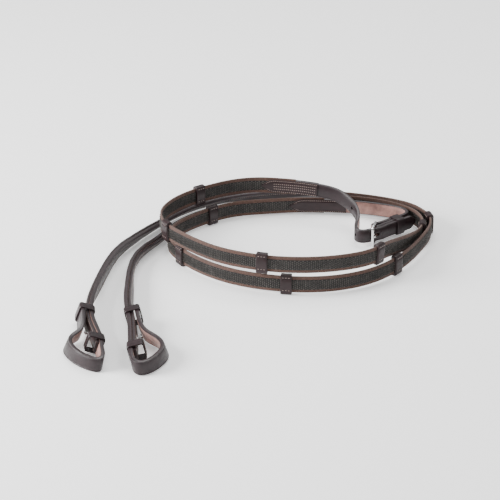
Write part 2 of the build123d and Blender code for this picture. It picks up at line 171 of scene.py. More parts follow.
class Colours(bpy.types.PropertyGroup):
    """Colours as sRGB hex text."""
    grain: bpy.props.StringProperty(
        name="Leather", description="Grain side of the straps", default="211518")
    flesh: bpy.props.StringProperty(
        name="Flesh side", description="Back of the straps", default="8E6A61")
    patch: bpy.props.StringProperty(
        name="Patches", description="Splice patches and hand stops", default="221315")
    web: bpy.props.StringProperty(
        name="Web", description="Woven edge of the grip", default="523C34")
    rubber: bpy.props.StringProperty(
        name="Rubber", description="Pimpled rubber faces", default="171514")
    # The tips colour is painted highlight: the pimples are made lighter than the rubber backing to
    # stand for light catching them, not dust.
    tips: bpy.props.StringProperty(
        name="Rubber tips", description="Dusty tops of the pimples", default="46423E")
    thread: bpy.props.StringProperty(
        name="Thread", description="Waxed stitching thread", default="8C7870")


def hex_linear(text):
    """sRGB hex text to linear red, green, blue, alpha."""
    channels = [int(text[i:i + 2], 16) / 255 for i in (0, 2, 4)]
    return [c / 12.92 if c <= 0.04045 else ((c + 0.055) / 1.055) ** 2.4 for c in channels] + [1.0]


def shaded(text, factor):
    """A hex colour made darker or lighter, in linear light."""
    return [min(1.0, c * factor) for c in hex_linear(text)[:3]] + [1.0]


# Nodes and materials

def add(tree, kind, inputs=None, **settings):
    """Add a node with its settings; an input is a value or another node's output socket."""
    node = tree.nodes.new(kind)
    for name, value in settings.items():
        setattr(node, name, value)
    for name, value in (inputs or {}).items():
        if isinstance(value, bpy.types.NodeSocket):
            tree.links.new(value, node.inputs[name])
        else:
            node.inputs[name].default_value = value
    return node


def ramp(tree, factor, *stops):
    """A colour ramp through (place, colour) stops."""
    node = add(tree, "ShaderNodeValToRGB", {"Fac": factor})
    elements = node.color_ramp.elements
    while len(elements) < len(stops):
        elements.new(1.0)
    for element, (place, colour) in zip(elements, stops):
        element.position = place
        element.color = colour
    return node.outputs["Color"]


def grey(value):
    return (value, value, value, 1.0)


def new_material(name, **principled):
    """A material whose Principled shader is set by constants; also its tree, its shader and
    its coordinates."""
    material = bpy.data.materials.new(name)
    material.use_nodes = True
    tree = material.node_tree
    shader = tree.nodes["Principled BSDF"]
    for socket, value in principled.items():
        shader.inputs[socket.replace("_", " ")].default_value = value
    return material, tree, shader, add(tree, "ShaderNodeTexCoord")


def noise(tree, vector, size_mm, detail=3.0, roughness=0.55):
    """Noise whose features are about size_mm across."""
    inputs = {"Vector": vector, "Scale": 1000 / size_mm, "Detail": detail, "Roughness": roughness}
    return add(tree, "ShaderNodeTexNoise", inputs).outputs["Fac"]


def bump(tree, height, depth_mm, normal=None, strength=1.0):
    inputs = {"Height": height, "Distance": depth_mm * MM, "Strength": strength}
    if normal is not None:
        inputs["Normal"] = normal
    return add(tree, "ShaderNodeBump", inputs).outputs["Normal"]


def shades(tree, factor, colour, dark, plain, light):
    """A ramp round one colour; dark and light are (place, how much darker or lighter)."""
    return ramp(tree, factor, (dark[0], shaded(colour, dark[1])), (plain, hex_linear(colour)),
                (light[0], shaded(colour, light[1])))


def greys(tree, factor, low, high):
    """A ramp between two greys, each given as (place, value)."""
    return ramp(tree, factor, (low[0], grey(low[1])), (high[0], grey(high[1])))


def wire(tree, shader, tone, normal, rough):
    """Join a colour, a bumped normal and a roughness to the shader."""
    tree.links.new(tone, shader.inputs["Base Color"])
    tree.links.new(normal, shader.inputs["Normal"])
    tree.links.new(rough, shader.inputs["Roughness"])


def grain_leather(name, colour, gloss=0.36, wear=1.5):
    """Bridle leather, vegetable tanned, dyed and waxed: fine pebbled grain, a broken wax sheen
    and slightly lighter, greyer patches where it has been handled."""
    pore_mm = 0.85
    material, tree, shader, place = new_material(
        name, IOR=1.5, Specular_IOR_Level=0.28, Coat_Weight=0.12, Coat_Roughness=0.16)
    point = place.outputs["Object"]
    tone = shades(tree, noise(tree, point, 16.0, 4.0), colour, (0.3, 0.72), 0.55, (0.78, wear))
    pores = add(tree, "ShaderNodeTexVoronoi", {"Vector": point, "Scale": 1000 / pore_mm})
    creases = noise(tree, point, 2.6, 5.0, 0.65)
    pebbled = bump(tree, pores.outputs["Distance"], 0.10, strength=0.55)
    sheen = greys(tree, noise(tree, point, 7.0, 4.0), (0.3, gloss), (0.75, gloss + 0.2))
    wire(tree, shader, tone, bump(tree, creases, 0.22, pebbled, 0.6), sheen)
    return material


def flesh_leather(name, colour):
    """The flesh side of bridle leather: rolled flat but still fibrous, so matt, with short
    fibres and paler rubbed places."""
    material, tree, shader, place = new_material(
        name, IOR=1.45, Specular_IOR_Level=0.4, Sheen_Weight=0.25, Sheen_Roughness=0.5)
    point = place.outputs["Object"]
    cloud = noise(tree, point, 11.0, 5.0, 0.65)
    tone = shades(tree, cloud, colour, (0.28, 0.55), 0.52, (0.8, 1.7))
    fibres = bump(tree, noise(tree, point, 0.9, 6.0, 0.7), 0.22, strength=0.8)
    rough = greys(tree, noise(tree, point, 5.0), (0.3, 0.55), (0.8, 0.8))
    wire(tree, shader, tone, fibres, rough)
    return material


def burnished_edge(name, colour):
    """Cut leather edge, dyed and rubbed with wax: dark and smooth, with faint layers."""
    material, tree, shader, place = new_material(name, IOR=1.5, Coat_Weight=0.2, Coat_Roughness=0.2)
    point = place.outputs["Object"]
    tone = ramp(tree, noise(tree, point, 3.0, 4.0), (0.3, shaded(colour, 0.6)),
                (0.8, shaded(colour, 1.9)))
    layers = bump(tree, noise(tree, point, 1.2, 4.0), 0.12, strength=0.6)
    wire(tree, shader, tone, layers, greys(tree, noise(tree, point, 4.0), (0.3, 0.3), (0.8, 0.5)))
    return material


def woven_web(name, colour):
    """Cotton web, tightly woven: matt brown, with weft ribs about a millimetre apart across the
    cords that run along it, and threads that vary in tone."""
    rib_mm = 1.0
    material, tree, shader, place = new_material(
        name, IOR=1.45, Specular_IOR_Level=0.25, Sheen_Weight=0.12, Sheen_Roughness=0.6)
    ribs = add(tree, "ShaderNodeTexWave", {"Vector": place.outputs["UV"], "Distortion": 0.6,
                                           "Scale": 1000 / rib_mm / math.tau, "Detail": 2.0})
    point = place.outputs["Object"]
    fuzz = noise(tree, point, 0.5, 4.0, 0.7)
    threads = noise(tree, point, 1.6, 5.0, 0.7)
    tone = shades(tree, threads, colour, (0.3, 0.55), 0.55, (0.8, 1.75))
    ribbed = bump(tree, ribs.outputs["Fac"], 0.25, strength=0.7)
    rough = greys(tree, fuzz, (0.3, 0.75), (0.8, 0.95))
    wire(tree, shader, tone, bump(tree, fuzz, 0.12, ribbed, 0.6), rough)
    return material


def pimpled_rubber(name, colour):
    """Moulded natural rubber: dark, slightly dusty and matt; the lighter tips copy is painted
    highlight.
    """
    material, tree, shader, place = new_material(name, IOR=1.52, Specular_IOR_Level=0.35)
    point = place.outputs["Object"]
    dust = noise(tree, point, 9.0, 5.0, 0.6)
    tone = shades(tree, dust, colour, (0.3, 0.6), 0.55, (0.82, 1.8))
    skin = bump(tree, noise(tree, point, 0.6, 3.0), 0.06, strength=0.5)
    wire(tree, shader, tone, skin, greys(tree, noise(tree, point, 3.0), (0.3, 0.5), (0.8, 0.72)))
    return material


def waxed_thread(name, colour):
    """Twisted linen thread drawn through beeswax: pale, soft sheen, twist lines."""
    material, tree, shader, place = new_material(name, IOR=1.48, Sheen_Weight=0.2)
    point = place.outputs["Object"]
    tone = ramp(tree, noise(tree, point, 4.0), (0.3, shaded(colour, 0.6)),
                (0.75, hex_linear(colour)))
    twist = bump(tree, noise(tree, point, 0.35, 2.0), 0.08)
    wire(tree, shader, tone, twist, greys(tree, noise(tree, point, 2.0), (0.3, 0.5), (0.8, 0.7)))
    return material


def polished_steel(name):
    """Cast stainless steel, tumbled and polished: bright, with soft handling marks."""
    material, tree, shader, place = new_material(name, Metallic=1.0)
    point = place.outputs["Object"]
    tone = greys(tree, noise(tree, point, 5.0), (0.3, 0.62), (0.7, 0.8))
    marks = bump(tree, noise(tree, point, 1.5, 3.0), 0.02, strength=0.5)
    rough = greys(tree, noise(tree, point, 2.5, 5.0), (0.3, 0.12), (0.75, 0.3))
    wire(tree, shader, tone, marks, rough)
    return material


MATERIALS = {}


def materials():
    """The finishes, made once."""
    if not MATERIALS:
        tint = bpy.context.scene.rein_colours
        MATERIALS.update({
            "grain": grain_leather("Waxed_bridle_leather", tint.grain),
            "flesh": flesh_leather("Leather_flesh_side", tint.flesh),
            "edge": burnished_edge("Burnished_leather_edge", tint.grain),
            "patch": grain_leather("Sewn_patch_leather", tint.patch, 0.4, 1.4),
            "web": woven_web("Cotton_web", tint.web),
            "rubber": pimpled_rubber("Pimpled_rubber", tint.rubber),
            # A lighter copy of the pimpled rubber for the pimples: painted highlight for light
            # catching them.
            "tips": pimpled_rubber("Rubber_tips_painted_highlight", tint.tips),
            "thread": waxed_thread("Waxed_linen_thread", tint.thread),
            "steel": polished_steel("Polished_stainless_steel"),
        })
    return MATERIALS


# The rails: smooth centre lines that every piece follows

LOOK_AHEAD = 60               # points of the smooth line searched for the next row of the route
KEEPER_RUN = (0.4, 0.12)      # how far before the strap's end its two keepers may lie, in metres


def running_lengths(points):
    """Distance along a line of points to each of them."""
    lengths = [0.0]
    for before, after in zip(points, points[1:]):
        lengths.append(lengths[-1] + (Vector(after) - Vector(before)).length)
    return lengths


class Rail:
    """A rein's centre line with the strap's lean along it, read by distance from the buckle."""

    def __init__(self, name, route):
        self.points = spline_points(name, route)
        self.marks = running_lengths(self.points)
        self.length = self.marks[-1]
        self.leans = []
        low = 0
        for *place, lean in route:
            place = Vector(place)
            window = range(low, min(low + LOOK_AHEAD, len(self.points)))
            low = min(window, key=lambda i: (self.points[i] - place).length)
            self.leans.append((self.marks[low], lean))

    def point(self, distance):
        if distance <= 0:
            return self.points[0] + (self.points[0] - self.points[1]).normalized() * -distance
        low, high = 0, len(self.marks) - 1
        while high - low > 1:
            middle = (low + high) // 2
            if self.marks[middle] <= distance:
                low = middle
            else:
                high = middle
        step = self.marks[high] - self.marks[low]
        share = (distance - self.marks[low]) / step
        return self.points[low].lerp(self.points[high], share)

    def lean(self, distance):
        for (d0, lean0), (d1, lean1) in zip(self.leans, self.leans[1:]):
            if distance <= d1 and d1 > d0:
                share = max(0.0, (distance - d0) / (d1 - d0))
                share = share * share * (3 - 2 * share)
                return lean0 + share * (lean1 - lean0)
        return self.leans[-1][1]

    def frame(self, distance):
        """Middle, right-hand side and top of the strap at a distance."""
        reach = 1.2 * MM
        along = (self.point(distance + reach) - self.point(distance - reach)).normalized()
        right = along.cross(Vector((0, 0, 1))).normalized()
        up = right.cross(along)
        lean = math.radians(self.lean(distance))
        side = right * math.cos(lean) - up * math.sin(lean)
        top = up * math.cos(lean) + right * math.sin(lean)
        return self.point(distance), side, top

    def nearest(self, place, low=0.0, high=None):
        """The distance, between two limits, at which the rail passes nearest a point."""
        high = self.length if high is None else high
        spots = [(p, d) for p, d in zip(self.points, self.marks) if low <= d <= high]
        return min(spots, key=lambda spot: (spot[0] - place).length)[1]

    def at_node(self, node, low=0.0, high=None):
        corners = [Vector(corner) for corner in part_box(node)]
        return self.nearest((corners[0] + corners[1]) / 2, low, high)

    def path(self, start, end, step=4 * MM):
        count = max(2, round((end - start) / step))
        return [tuple(self.point(start + (end - start) * i / count)) for i in range(count + 1)]


def spline_points(name, route):
    """Points along a smooth curve whose control points are the route's."""
    curve = bpy.data.curves.new(name, "CURVE")
    curve.dimensions = "3D"
    spline = curve.splines.new("NURBS")
    spline.points.add(len(route) - 1)
    for point, row in zip(spline.points, route):
        point.co = (*row[:3], 1)
    spline.order_u = 3
    spline.use_endpoint_u = True
    curve.resolution_u = 16
    holder = placed(name, curve)
    mesh = evaluated(holder)
    points = [vertex.co.copy() for vertex in mesh.vertices]
    bpy.data.objects.remove(holder)
    bpy.data.curves.remove(curve)
    bpy.data.meshes.remove(mesh)
    return points


RAILS = {}


def rail(side):
    if not RAILS:
        RAILS["left"] = Rail("left_line", LEFT_ROUTE)
        RAILS["right"] = Rail("right_line", RIGHT_ROUTE)
    return RAILS[side]


def web_span(side):
    """Where the web meets the leather at each end of the grip."""
    line = rail(side)
    middle = line.length / 2
    start = line.at_node(f"{side}_centre_splice_left", 0, middle) - SPLICE_MIDDLE
    end = line.at_node(f"{side}_bit_splice_left", middle) + SPLICE_MIDDLE
    return start, end


def keeper_places(side):
    """Distances of the upper and lower bit keepers, on the strap's own run and not the loop's."""
    line = rail(side)
    run = [line.length - back for back in KEEPER_RUN]
    return line.at_node(f"{side}_upper_keeper", *run), line.at_node(f"{side}_lower_keeper", *run)


# Mesh building

def new_mesh(name, verts, faces, edges=()):
    mesh = bpy.data.meshes.new(name)
    mesh.from_pydata(verts, edges, faces)
    return mesh


def placed(name, data):
    """An object that holds the data, linked to the scene."""
    holder = bpy.data.objects.new(name, data)
    bpy.context.collection.objects.link(holder)
    return holder


def evaluated(holder):
    """The holder's mesh with its modifiers applied."""
    graph = bpy.context.evaluated_depsgraph_get()
    return bpy.data.meshes.new_from_object(holder.evaluated_get(graph))


def finish_piece(name, mesh, slots, nodes=(), body=BODY, smooth_angle=38):
    """Turn a mesh into a piece that rides on a body and stands for CAD nodes."""
    build = bmesh.new()
    build.from_mesh(mesh)
    bmesh.ops.remove_doubles(build, verts=build.verts, dist=1e-7)
    bmesh.ops.recalc_face_normals(build, faces=build.faces)
    build.to_mesh(mesh)
    build.free()
    mesh.shade_smooth()
    mesh.set_sharp_from_angle(angle=math.radians(smooth_angle))
    piece = placed(name, mesh)
    for finish in slots:
        mesh.materials.append(materials()[finish])
    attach(piece, body)
    if nodes:
        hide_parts(*nodes)
    return piece


def free_cord(line, start, end):
    """Read the rail's point at start and its path from start to end, and keep neither."""
    tuple(line.point(start))
    line.path(start, end)


def ring_faces(rings, count, closed=False):
    """Faces between rings of count points, each ring joined to the next."""
    faces = []
    for ring in range(rings if closed else rings - 1):
        here, there = ring * count, (ring + 1) % rings * count
        for i in range(count):
            j = (i + 1) % count
            faces.append((here + i, here + j, there + j, there + i))
    return faces


def sweep(name, frames, outlines, tags, closed=False):
    """A skin through outlines set in frames; tags give each outline segment its material."""
    verts = []
    for (middle, side, top), outline in zip(frames, outlines):
        verts += [middle + side * across + top * height for across, height in outline]
    count = len(outlines[0])
    rings = len(frames)
    middle_outline = outlines[rings // 2]
    around = running_lengths(middle_outline + middle_outline[:1])
    along = running_lengths([middle for middle, *_ in frames + frames[:1]])
    faces = ring_faces(rings, count, closed)
    marks = [tags[i % count] for i in range(len(faces))]
    uvs = [((along[ring], around[i]), (along[ring], around[i + 1]),
            (along[ring + 1], around[i + 1]), (along[ring + 1], around[i]))
           for ring in range(len(faces) // count) for i in range(count)]
    if not closed:
        for first in (0, (rings - 1) * count):
            faces.append(tuple(range(first, first + count)))
            marks.append(max(tags))
            uvs.append(tuple(outlines[0]))
    mesh = new_mesh(name, verts, faces)
    layer = mesh.uv_layers.new(name="Strap")
    for polygon, corners, mark in zip(mesh.polygons, uvs, marks):
        polygon.material_index = mark
        for loop, uv in zip(polygon.loop_indices, corners):
            layer.data[loop].uv = uv
    return mesh


ROUND = 0.29    # where a rounded corner's middle lies, as a share of its radius


def strap_outline(low, high, width, round_off, crease=None, faces=(0, 0), edge=1):
    """Section of a strap from low to high across and width high, with rounded edges and,
    if asked for, a creased line near each edge. Also each segment's material."""
    half = width / 2
    heights = [-half + round_off]
    depths = [0.0]
    if crease:
        inset, groove, depth = crease
        for sign in (-1, 1):
            line = sign * (half - inset)
            heights += [line - groove, line, line + groove]
            depths += [0.0, depth, 0.0]
    heights.append(half - round_off)
    depths.append(0.0)
    right = [(high - d, h) for h, d in zip(heights, depths)]
    left = [(low + d, h) for h, d in zip(heights, depths)][::-1]
    corner = ROUND * round_off
    top = [(high - corner, half - corner), (high - round_off, half),
           (low + round_off, half), (low + corner, half - corner)]
    bottom = [(low + corner, -half + corner), (low + round_off, -half),
              (high - round_off, -half), (high - corner, -half + corner)]
    points = right + top + left + bottom
    tags = [faces[1]] * (len(right) - 1) + [edge] * 5 + [faces[0]] * (len(left) - 1) + [edge] * 5
    return points, tags


def strap_mesh(name, line, start, end, outline, tags, step=2 * MM, narrowing=None):
    """A strap along a rail. narrowing gives the share of the width left at a distance."""
    count = max(3, round((end - start) / step))
    distances = [start + (end - start) * i / count for i in range(count + 1)]
    if narrowing:
        distances = sorted(set(distances + narrowing.stations))
    frames = [line.frame(d) for d in distances]
    outlines = []
    for distance in distances:
        share = narrowing(distance) if narrowing else 1.0
        outlines.append([(across, height * share) for across, height in outline])
    return sweep(name, frames, outlines, tags)


class Point:
    """Narrowing of a strap or patch to a rounded point at one end."""

    def __init__(self, tip, neck, blunt=0.12, power=2.0):
        self.tip = tip
        self.neck = neck
        self.blunt = blunt    # share of the width left at the very tip
        self.power = power    # how late the sides turn in
        steps = 10
        ease = [math.sin(i / steps * math.pi / 2) for i in range(steps + 1)]
        self.stations = [neck + (tip - neck) * e for e in ease]

    def __call__(self, distance):
        share = (distance - self.neck) / (self.tip - self.neck)
        if share <= 0:
            return 1.0
        return max(self.blunt, 1 - min(1.0, share) ** self.power)


KEEPER_HEIGHT = 16.6 * MM
KEEPER_WALL = 1.4 * MM
KEEPER_CORNER = 1.6 * MM
KEEPER_PLAY = 0.3 * MM           # between a keeper and the strap's outer face
KEEPER_CREASE = (1.1 * MM, 1.9 * MM, 0.18 * MM)    # from the end to its middle and far side, depth
KEEPER_CROWN = 0.05 * MM


def keeper(name, node, line, middle, strap_half, reach, inner, length):
    """A leather band bent round a strap and what lies within reach of its inner face: a creased
    section carried round a rounded rectangle."""
    low, high = sorted((-(strap_half + KEEPER_PLAY) * inner, (strap_half + reach) * inner))
    loop = rounded_rectangle(low, high, -KEEPER_HEIGHT / 2, KEEPER_HEIGHT / 2, KEEPER_CORNER)
    half = length / 2
    wall = KEEPER_WALL
    soft = 0.28 * wall
    groove, flat, depth = KEEPER_CREASE
    rising = [(wall - soft, half), (wall, half - soft * 1.5), (wall - depth, half - groove),
              (wall, half - flat)]
    section = [(0, -half), (0, half), *rising, (wall + KEEPER_CROWN, 0)]
    section += [(rise, -along) for rise, along in reversed(rising)]
    verts = []
    for (across, height), (out_a, out_h) in loop:
        for rise, along in section:
            place, side, top = line.frame(middle + along)
            verts.append(place + side * (across + out_a * rise) + top * (height + out_h * rise))
    mesh = new_mesh(name, verts, ring_faces(len(loop), len(section), True))
    finish_piece(name, mesh, ("grain",), (node,))


LEAST = 0.01 * MM    # shortest straight side left between two rounded corners


def rounded_rectangle(low, high, bottom, top, radius):
    """Points and outward directions round a rectangle with rounded corners."""
    radius = min(radius, (high - low) / 2 - LEAST)
    points = []
    corners = [(high - radius, top - radius, 0), (low + radius, top - radius, 90),
               (low + radius, bottom + radius, 180), (high - radius, bottom + radius, 270)]
    steps = 6
    for across, height, start in corners:
        for i in range(steps + 1):
            angle = math.radians(start + 90 * i / steps)
            out = (math.cos(angle), math.sin(angle))
            points.append(((across + radius * out[0], height + radius * out[1]), out))
    return points


def flat_bar(name, points, side, width, thickness):
    """A flat metal bar bent along points, its width along side."""
    frames = []
    for i, point in enumerate(points):
        before = points[max(0, i - 1)]
        after = points[min(len(points) - 1, i + 1)]
        along = (after - before).normalized()
        frames.append((point, side, along.cross(side).normalized()))
    half_w, half_t, soft = width / 2, thickness / 2, 0.3 * thickness
    outline = [(half_w, -half_t + soft), (half_w, half_t - soft), (half_w - soft, half_t),
               (-half_w + soft, half_t), (-half_w, half_t - soft), (-half_w, -half_t + soft),
               (-half_w + soft, -half_t), (half_w - soft, -half_t)]
    shrink = [1.0] * len(frames)
    shrink[-1] = 0.45
    shrink[-2] = 0.85
    outlines = [[(a * s, h) for a, h in outline] for s in shrink]
    return sweep(name, frames, outlines, [0] * len(outline))


def tube(name, points, radii, closed=False, sides=14):
    """A round bar along points with a radius at each."""
    frames = []
    normal = None
    count = len(points)
    for i, point in enumerate(points):
        before = points[i - 1] if closed or i else points[0]
        after = points[(i + 1) % count] if closed or i < count - 1 else points[-1]
        along = (after - before).normalized()
        if normal is None:
            normal = along.orthogonal().normalized()
        normal = (normal - along * normal.dot(along)).normalized()
        frames.append((point, normal, along.cross(normal)))
    turns = [2 * math.pi * k / sides for k in range(sides)]
    outlines = [[(r * math.cos(t), r * math.sin(t)) for t in turns] for r in radii]
    return sweep(name, frames, outlines, [0] * sides, closed)


def join(name, meshes):
    """One mesh from several, their material indices kept."""
    build = bmesh.new()
    for mesh in meshes:
        build.from_mesh(mesh)
        bpy.data.meshes.remove(mesh)
    joined = bpy.data.meshes.new(name)
    build.to_mesh(joined)
    build.free()
    return joined


def cut(mesh, cutter):
    """The mesh with the cutter's space taken out."""
    piece = placed("cut_piece", mesh)
    tool = placed("cut_tool", cutter)
    modifier = piece.modifiers.new("Cut", "BOOLEAN")
    modifier.operation = "DIFFERENCE"
    modifier.solver = "EXACT"
    modifier.object = tool
    result = evaluated(piece)
    bpy.data.objects.remove(piece)
    bpy.data.objects.remove(tool)
    return result


# Geometry Nodes: stitches and pimples

STITCH_SHARE = 0.37    # half a stitch's length as a share of the pitch
PIMPLE_ROWS = 5
PIMPLE_RADIUS = 0.82 * MM
PIMPLE_HEIGHT = 0.55 * MM
PIMPLE_SEAT = 0.18 * MM    # from the rubber's backing to a pimple's middle

def node_group(name, *inputs):
    """An empty geometry node group with a geometry input and output and named inputs."""
    tree = bpy.data.node_groups.new(name, "GeometryNodeTree")
    tree.interface.new_socket("Geometry", in_out="INPUT", socket_type="NodeSocketGeometry")
    for title, kind in inputs:
        tree.interface.new_socket(title, in_out="INPUT", socket_type=kind)
    tree.interface.new_socket("Geometry", in_out="OUTPUT", socket_type="NodeSocketGeometry")
    return tree, add(tree, "NodeGroupInput").outputs


def end_group(tree, instances, material):
    real = add(tree, "GeometryNodeRealizeInstances", {"Geometry": instances})
    smooth = add(tree, "GeometryNodeSetShadeSmooth", {"Geometry": real.outputs[0]})
    painted = add(tree, "GeometryNodeSetMaterial",
                  {"Geometry": smooth.outputs[0], "Material": material})
    add(tree, "NodeGroupOutput", {"Geometry": painted.outputs[0]})
    return tree


def stitch_tree():
    """Threads laid end to end along edges, one each pitch, lying along the seam."""
    tree, given = node_group("Stitches", ("Pitch", "NodeSocketFloat"),
                             ("Radius", "NodeSocketFloat"), ("Thread", "NodeSocketMaterial"))
    seams = add(tree, "GeometryNodeMeshToCurve", {"Mesh": given["Geometry"]})
    spaced = add(tree, "GeometryNodeResampleCurve",
                 {"Curve": seams.outputs[0], "Length": given["Pitch"]}, mode="LENGTH")
    bead = add(tree, "GeometryNodeMeshUVSphere", {"Segments": 8, "Rings": 6, "Radius": 1.0})
    tangent = add(tree, "GeometryNodeInputTangent")
    turn = add(tree, "FunctionNodeAlignRotationToVector", {"Vector": tangent.outputs[0]}, axis="Z")
    long = add(tree, "ShaderNodeMath", {0: given["Pitch"], 1: STITCH_SHARE}, operation="MULTIPLY")
    size = add(tree, "ShaderNodeCombineXYZ", {"X": given["Radius"], "Y": given["Radius"],
                                              "Z": long.outputs[0]})
    laid = add(tree, "GeometryNodeInstanceOnPoints",
               {"Points": spaced.outputs[0], "Instance": bead.outputs[0],
                "Rotation": turn.outputs[0], "Scale": size.outputs[0]})
    return end_group(tree, laid.outputs[0], given["Thread"])


def pimple_tree():
    """A small blunt cone on every point, standing along the point's own direction."""
    tree, given = node_group("Pimples", ("Radius", "NodeSocketFloat"),
                             ("Height", "NodeSocketFloat"), ("Rubber", "NodeSocketMaterial"))
    tip = add(tree, "ShaderNodeMath", {0: given["Radius"], 1: 0.5}, operation="MULTIPLY")
    cone = add(tree, "GeometryNodeMeshCone",
               {"Vertices": 8, "Radius Top": tip.outputs[0], "Radius Bottom": given["Radius"],
                "Depth": given["Height"]}, fill_type="NGON")
    facing = add(tree, "GeometryNodeInputNamedAttribute", {"Name": "facing"},
                 data_type="FLOAT_VECTOR")
    turn = add(tree, "FunctionNodeAlignRotationToVector", {"Vector": facing.outputs[0]}, axis="Z")
    spread = add(tree, "FunctionNodeRandomValue", {2: 0.8, 3: 1.12, "Seed": 7}, data_type="FLOAT")
    laid = add(tree, "GeometryNodeInstanceOnPoints",
               {"Points": given["Geometry"], "Instance": cone.outputs[0],
                "Rotation": turn.outputs[0], "Scale": spread.outputs[1]})
    return end_group(tree, laid.outputs[0], given["Rubber"])


def run_tree(name, mesh, tree, values):
    """Run a node group on a mesh and keep the result as a plain piece."""
    holder = placed(name + "_source", mesh)
    modifier = holder.modifiers.new("Nodes", "NODES")
    modifier.node_group = tree
    for item in tree.interface.items_tree:
        if item.in_out == "INPUT" and item.name in values:
            modifier[item.identifier] = values[item.name]
    result = evaluated(holder)
    bpy.data.objects.remove(holder)
    result.name = name
    piece = placed(name, result)
    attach(piece, BODY)
    return piece


TREES = {}


def trees():
    """The stitch and pimple node groups, made once."""
    if not TREES:
        TREES["stitch"] = stitch_tree()
        TREES["pimple"] = pimple_tree()
    return TREES


def seam_guide(name, runs):
    """A mesh of edges along which stitches are laid; runs are lists of points."""
    verts = []
    edges = []
    for run in runs:
        edges += [(len(verts) + i, len(verts) + i + 1) for i in range(len(run) - 1)]
        verts += run
    return new_mesh(name, verts, [], edges)


def stitches(name, runs):
    size = bpy.context.scene.rein_sizes
    values = {"Pitch": size.stitch_pitch, "Radius": size.thread_radius,
              "Thread": materials()["thread"]}
    return run_tree(name, seam_guide(name, runs), trees()["stitch"], values)


def seam(line, start, end, across, height, step=1.5 * MM):
    """Points of a seam on a strap's face, at a height above its middle."""
    count = max(2, round((end - start) / step))
    run = []
    for i in range(count + 1):
        middle, side, top = line.frame(start + (end - start) * i / count)
        run.append(middle + side * across + top * height)
    return run


def slot_cutter(line, distance, length, height):
    """A rounded slot through a strap's thickness."""
    middle, side, top = line.frame(distance)
    ahead = top.cross(side)
    steps = 8
    outline = []
    for centre, start in ((length / 2 - height / 2, -90), (height / 2 - length / 2, 90)):
        for i in range(steps + 1):
            angle = math.radians(start + 180 * i / steps)
            outline.append((centre + height / 2 * math.cos(angle), height / 2 * math.sin(angle)))
    verts = [middle + side * depth + ahead * a + top * h
             for depth in (-CUT_REACH, CUT_REACH) for a, h in outline]
    count = len(outline)
    faces = [tuple(range(count)), tuple(range(2 * count - 1, count - 1, -1))]
    faces += [(i, i + count, (i + 1) % count + count, (i + 1) % count) for i in range(count)]
    return solid("slot_cutter", verts, faces)


def block_cutter(middle, size):
    verts = [middle + Vector((x * size[0] / 2, y * size[1] / 2, z * size[2] / 2))
             for x in (-1, 1) for y in (-1, 1) for z in (-1, 1)]
    faces = [(0, 1, 3, 2), (4, 6, 7, 5), (0, 4, 5, 1), (2, 3, 7, 6), (0, 2, 6, 4), (1, 5, 7, 3)]
    return solid("block_cutter", verts, faces)


def solid(name, verts, faces):
    mesh = new_mesh(name, verts, faces)
    build = bmesh.new()
    build.from_mesh(mesh)
    bmesh.ops.recalc_face_normals(build, faces=build.faces)
    build.to_mesh(mesh)
    build.free()
    return mesh


# The leather straps, and the buckle with its heel bar in the chape's fold

HEEL = Vector((0.1351, 0.0963, 0.013))
FRAME_ANGLE = -106.5
FRAME_REACH = 16 * MM
FRAME_HALF = 11.4 * MM
FRAME_CORNER = 3 * MM
BAR = 1.6 * MM
TONGUE = 1.2 * MM
TONGUE_GAP = 0.05 * MM      # between the resting tongue and the frame's bar
TONGUE_LINE = ((1.9, 1.15), (4, 1.2), (8, 1.2), (12, 1.2), (14.5, 1.18), (16.5, 1.05),
               (17.8, 0.8), (18.5, 0.35))    # distance from the heel and radius, in mm
EYE = 1.68 * MM
USED_HOLE = 59.5 * MM       # from the billet's tip to the hole that the tongue goes through
USED_SLOT = 7.6 * MM        # that hole is drawn out to a slot
HOLE_PITCH = 25 * MM
HOLE_HEIGHT = 3.6 * MM
HOLE_LENGTH = 1.001 * HOLE_HEIGHT    # round, with a trace of a straight side
CUT_REACH = 8 * MM
BUCKLE_KEEPER = 77.5 * MM   # along the left rein
BUCKLE_KEEPER_REACH = 9.5 * MM
CHAPE_NOTCH = (17 * MM, 17 * MM, 3.6 * MM)
CHAPE_SEAM = (2 * MM, 20 * MM)
CHAPE_SEAM_HEIGHT = 6.2 * MM
STRAP_POINT = 10 * MM       # length of a strap's pointed end
EDGE_CREASE = (1.7 * MM, 0.35 * MM, 0.22 * MM)    # inset, half width and depth
EDGE_ROUND = 0.9 * MM


def direction(degrees):
    return Vector((math.cos(math.radians(degrees)), math.sin(math.radians(degrees)), 0))


